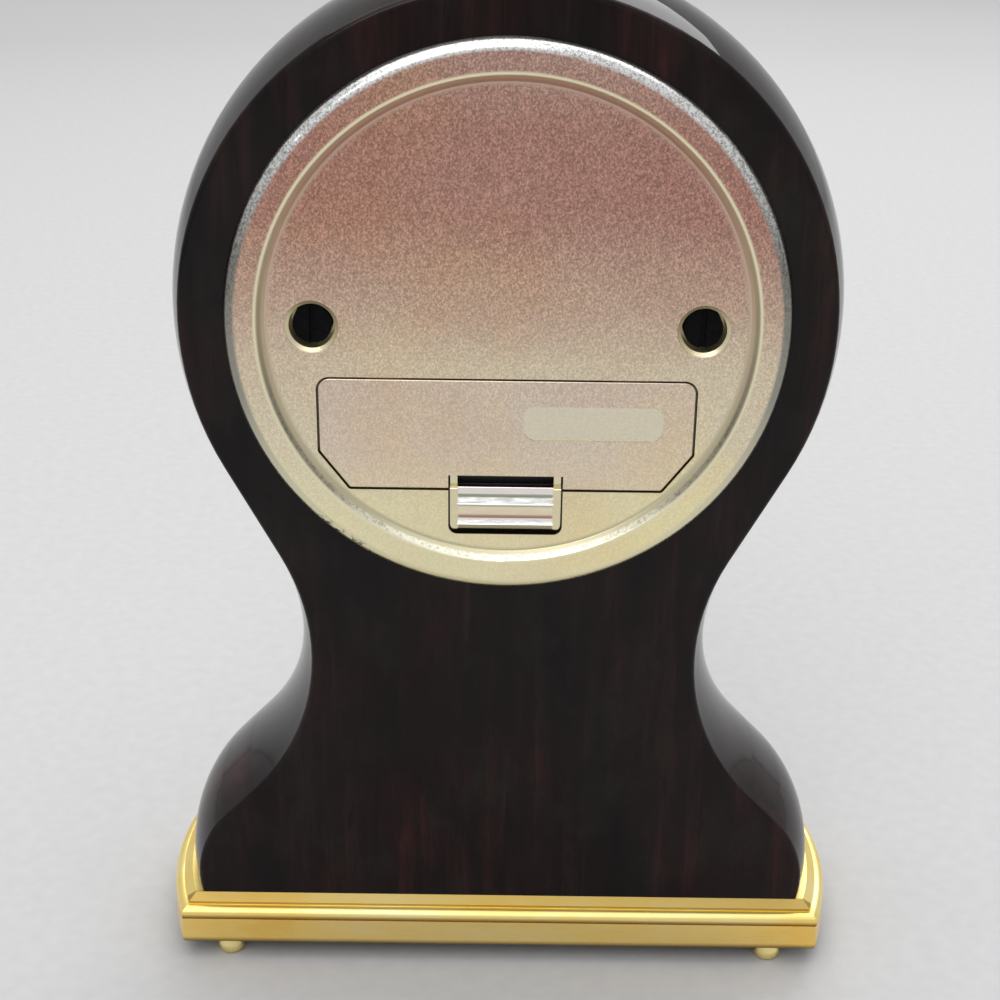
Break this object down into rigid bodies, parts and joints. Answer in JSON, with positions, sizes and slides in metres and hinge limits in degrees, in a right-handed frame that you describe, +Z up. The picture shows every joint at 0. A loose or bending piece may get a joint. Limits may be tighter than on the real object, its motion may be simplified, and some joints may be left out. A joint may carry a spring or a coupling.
{
  "type": "desk clock",
  "caption": "Keyhole-shaped wooden desk clock on a moulded metal base, with a date ring, round rear cover, recessed setting knobs and a latched battery door.",
  "frame": {"origin": "on the table under the middle of the base plate", "axes": "+X right as one faces the dial, +Y towards the rear cover, +Z up"},
  "size_m": [0.126, 0.0433, 0.1789],
  "materials": {
    "lacquered_wood": "dark rosewood under high gloss lacquer",
    "polished_gold": "polished gold plating",
    "champagne_metal": "satin champagne plating with a fine sparkle",
    "bright_metal": "polished plating",
    "clear_glass": "polished",
    "dial_paint": "fine matt ivory",
    "black_plastic": "moulded",
    "white_plastic": "moulded",
    "gear_plastic": "moulded acetal",
    "turned_brass": "turned",
    "plain_steel": "bright",
    "black_hand": "semi-gloss",
    "gasket_rubber": "soft",
    "pad_foam": "open foam",
    "copper_winding": "enamelled wire",
    "board_green": "solder mask",
    "cell_jacket": "plain printed sleeve"
  },
  "bodies": {
    "case": {"case_body": "lacquered_wood", "base_plate": "polished_gold", "base_feet": "polished_gold", "base_screws": "plain_steel", "bezel": "polished_gold", "lens": "clear_glass", "lens_gasket": "gasket_rubber", "flange_ring": "polished_gold", "dial": "dial_paint", "hour_markers": "polished_gold", "date_frame": "polished_gold", "centre_bush": "turned_brass", "calendar_plate": "black_plastic", "movement_base": "black_plastic", "movement_lid": "black_plastic", "pillars": "turned_brass", "movement_screws": "plain_steel", "stator": "plain_steel", "coil_bobbin": "black_plastic", "coil": "copper_winding", "circuit_board": "board_green", "quartz_crystal": "plain_steel", "battery": "cell_jacket", "battery_plus_contact": "bright_metal", "battery_minus_contact": "bright_metal", "rear_cover": "champagne_metal", "cover_screws": "plain_steel"},
    "minute_work": {"minute_arbor": "gear_plastic", "minute_hand": "black_hand"},
    "hour_work": {"hour_wheel": "gear_plastic", "hour_hand": "black_hand"},
    "motion_work": {"motion_wheel": "gear_plastic"},
    "idler_work": {"setting_idler": "gear_plastic"},
    "time_setter": {"time_pinion": "gear_plastic", "time_knob": "black_plastic"},
    "second_work": {"second_wheel": "gear_plastic", "second_hand": "polished_gold"},
    "third_work": {"third_wheel": "gear_plastic"},
    "centre_work": {"centre_wheel": "gear_plastic"},
    "fifth_work": {"fifth_wheel": "gear_plastic"},
    "rotor_work": {"rotor": "gear_plastic"},
    "date_work": {"date_ring": "white_plastic"},
    "date_setter": {"date_pinion": "gear_plastic", "date_knob": "black_plastic"},
    "door": {"battery_door": "champagne_metal", "door_pads": "pad_foam", "latch_spring": "plain_steel"},
    "latch": {"door_latch": "bright_metal"}
  },
  "joints": [
    {"name": "minute_turn", "type": "hinge", "parent": "case", "child": "minute_work", "pos_m": [0, 0, 0.1227], "axis": [0, 1, 0], "continuous": true},
    {"name": "hour_turn", "type": "hinge", "parent": "case", "child": "hour_work", "pos_m": [0, 0, 0.1227], "axis": [0, 1, 0], "continuous": true},
    {"name": "motion_turn", "type": "hinge", "parent": "case", "child": "motion_work", "pos_m": [0, 0, 0.1307], "axis": [0, 1, 0], "continuous": true},
    {"name": "idler_turn", "type": "hinge", "parent": "case", "child": "idler_work", "pos_m": [-0.018, 0, 0.1227], "axis": [0, 1, 0], "continuous": true},
    {"name": "time_knob_turn", "type": "hinge", "parent": "case", "child": "time_setter", "pos_m": [-0.0315, 0, 0.1227], "axis": [0, 1, 0], "continuous": true},
    {"name": "second_turn", "type": "hinge", "parent": "case", "child": "second_work", "pos_m": [0, 0, 0.1227], "axis": [0, 1, 0], "continuous": true},
    {"name": "third_turn", "type": "hinge", "parent": "case", "child": "third_work", "pos_m": [0.0102, 0, 0.1227], "axis": [0, 1, 0], "continuous": true},
    {"name": "centre_turn", "type": "hinge", "parent": "case", "child": "centre_work", "pos_m": [0, 0, 0.1227], "axis": [0, 1, 0], "continuous": true},
    {"name": "fifth_turn", "type": "hinge", "parent": "case", "child": "fifth_work", "pos_m": [0.00349, 0, 0.13229], "axis": [0, 1, 0], "continuous": true},
    {"name": "rotor_turn", "type": "hinge", "parent": "case", "child": "rotor_work", "pos_m": [0.00503, 0, 0.13651], "axis": [0, 1, 0], "continuous": true},
    {"name": "date_turn", "type": "hinge", "parent": "case", "child": "date_work", "pos_m": [0, 0, 0.1227], "axis": [0, 1, 0], "continuous": true},
    {"name": "date_knob_turn", "type": "hinge", "parent": "case", "child": "date_setter", "pos_m": [0.0315, 0, 0.1227], "axis": [0, 1, 0], "continuous": true},
    {"name": "door_swing", "type": "hinge", "parent": "case", "child": "door", "pos_m": [0, 0.0186, 0.1143], "axis": [1, 0, 0], "range_deg": [0, 75]},
    {"name": "latch_press", "type": "slide", "parent": "door", "child": "latch", "axis": [0, 0, 1], "range_m": [0, 0.0012], "stiffness_N_per_m": 400, "springref_m": -0.001, "deforming": ["latch_spring"]}
  ],
  "couplings": [
    {"joint": "hour_turn", "follows": "minute_turn", "ratio": 0.083333},
    {"joint": "motion_turn", "follows": "minute_turn", "ratio": -0.33333},
    {"joint": "idler_turn", "follows": "minute_turn", "ratio": -1},
    {"joint": "time_knob_turn", "follows": "minute_turn", "ratio": 2},
    {"joint": "third_turn", "follows": "second_turn", "ratio": -0.13333},
    {"joint": "centre_turn", "follows": "second_turn", "ratio": 0.016667},
    {"joint": "fifth_turn", "follows": "second_turn", "ratio": -7.5},
    {"joint": "rotor_turn", "follows": "second_turn", "ratio": 30},
    {"joint": "date_knob_turn", "follows": "date_turn", "ratio": 9.3}
  ]
}
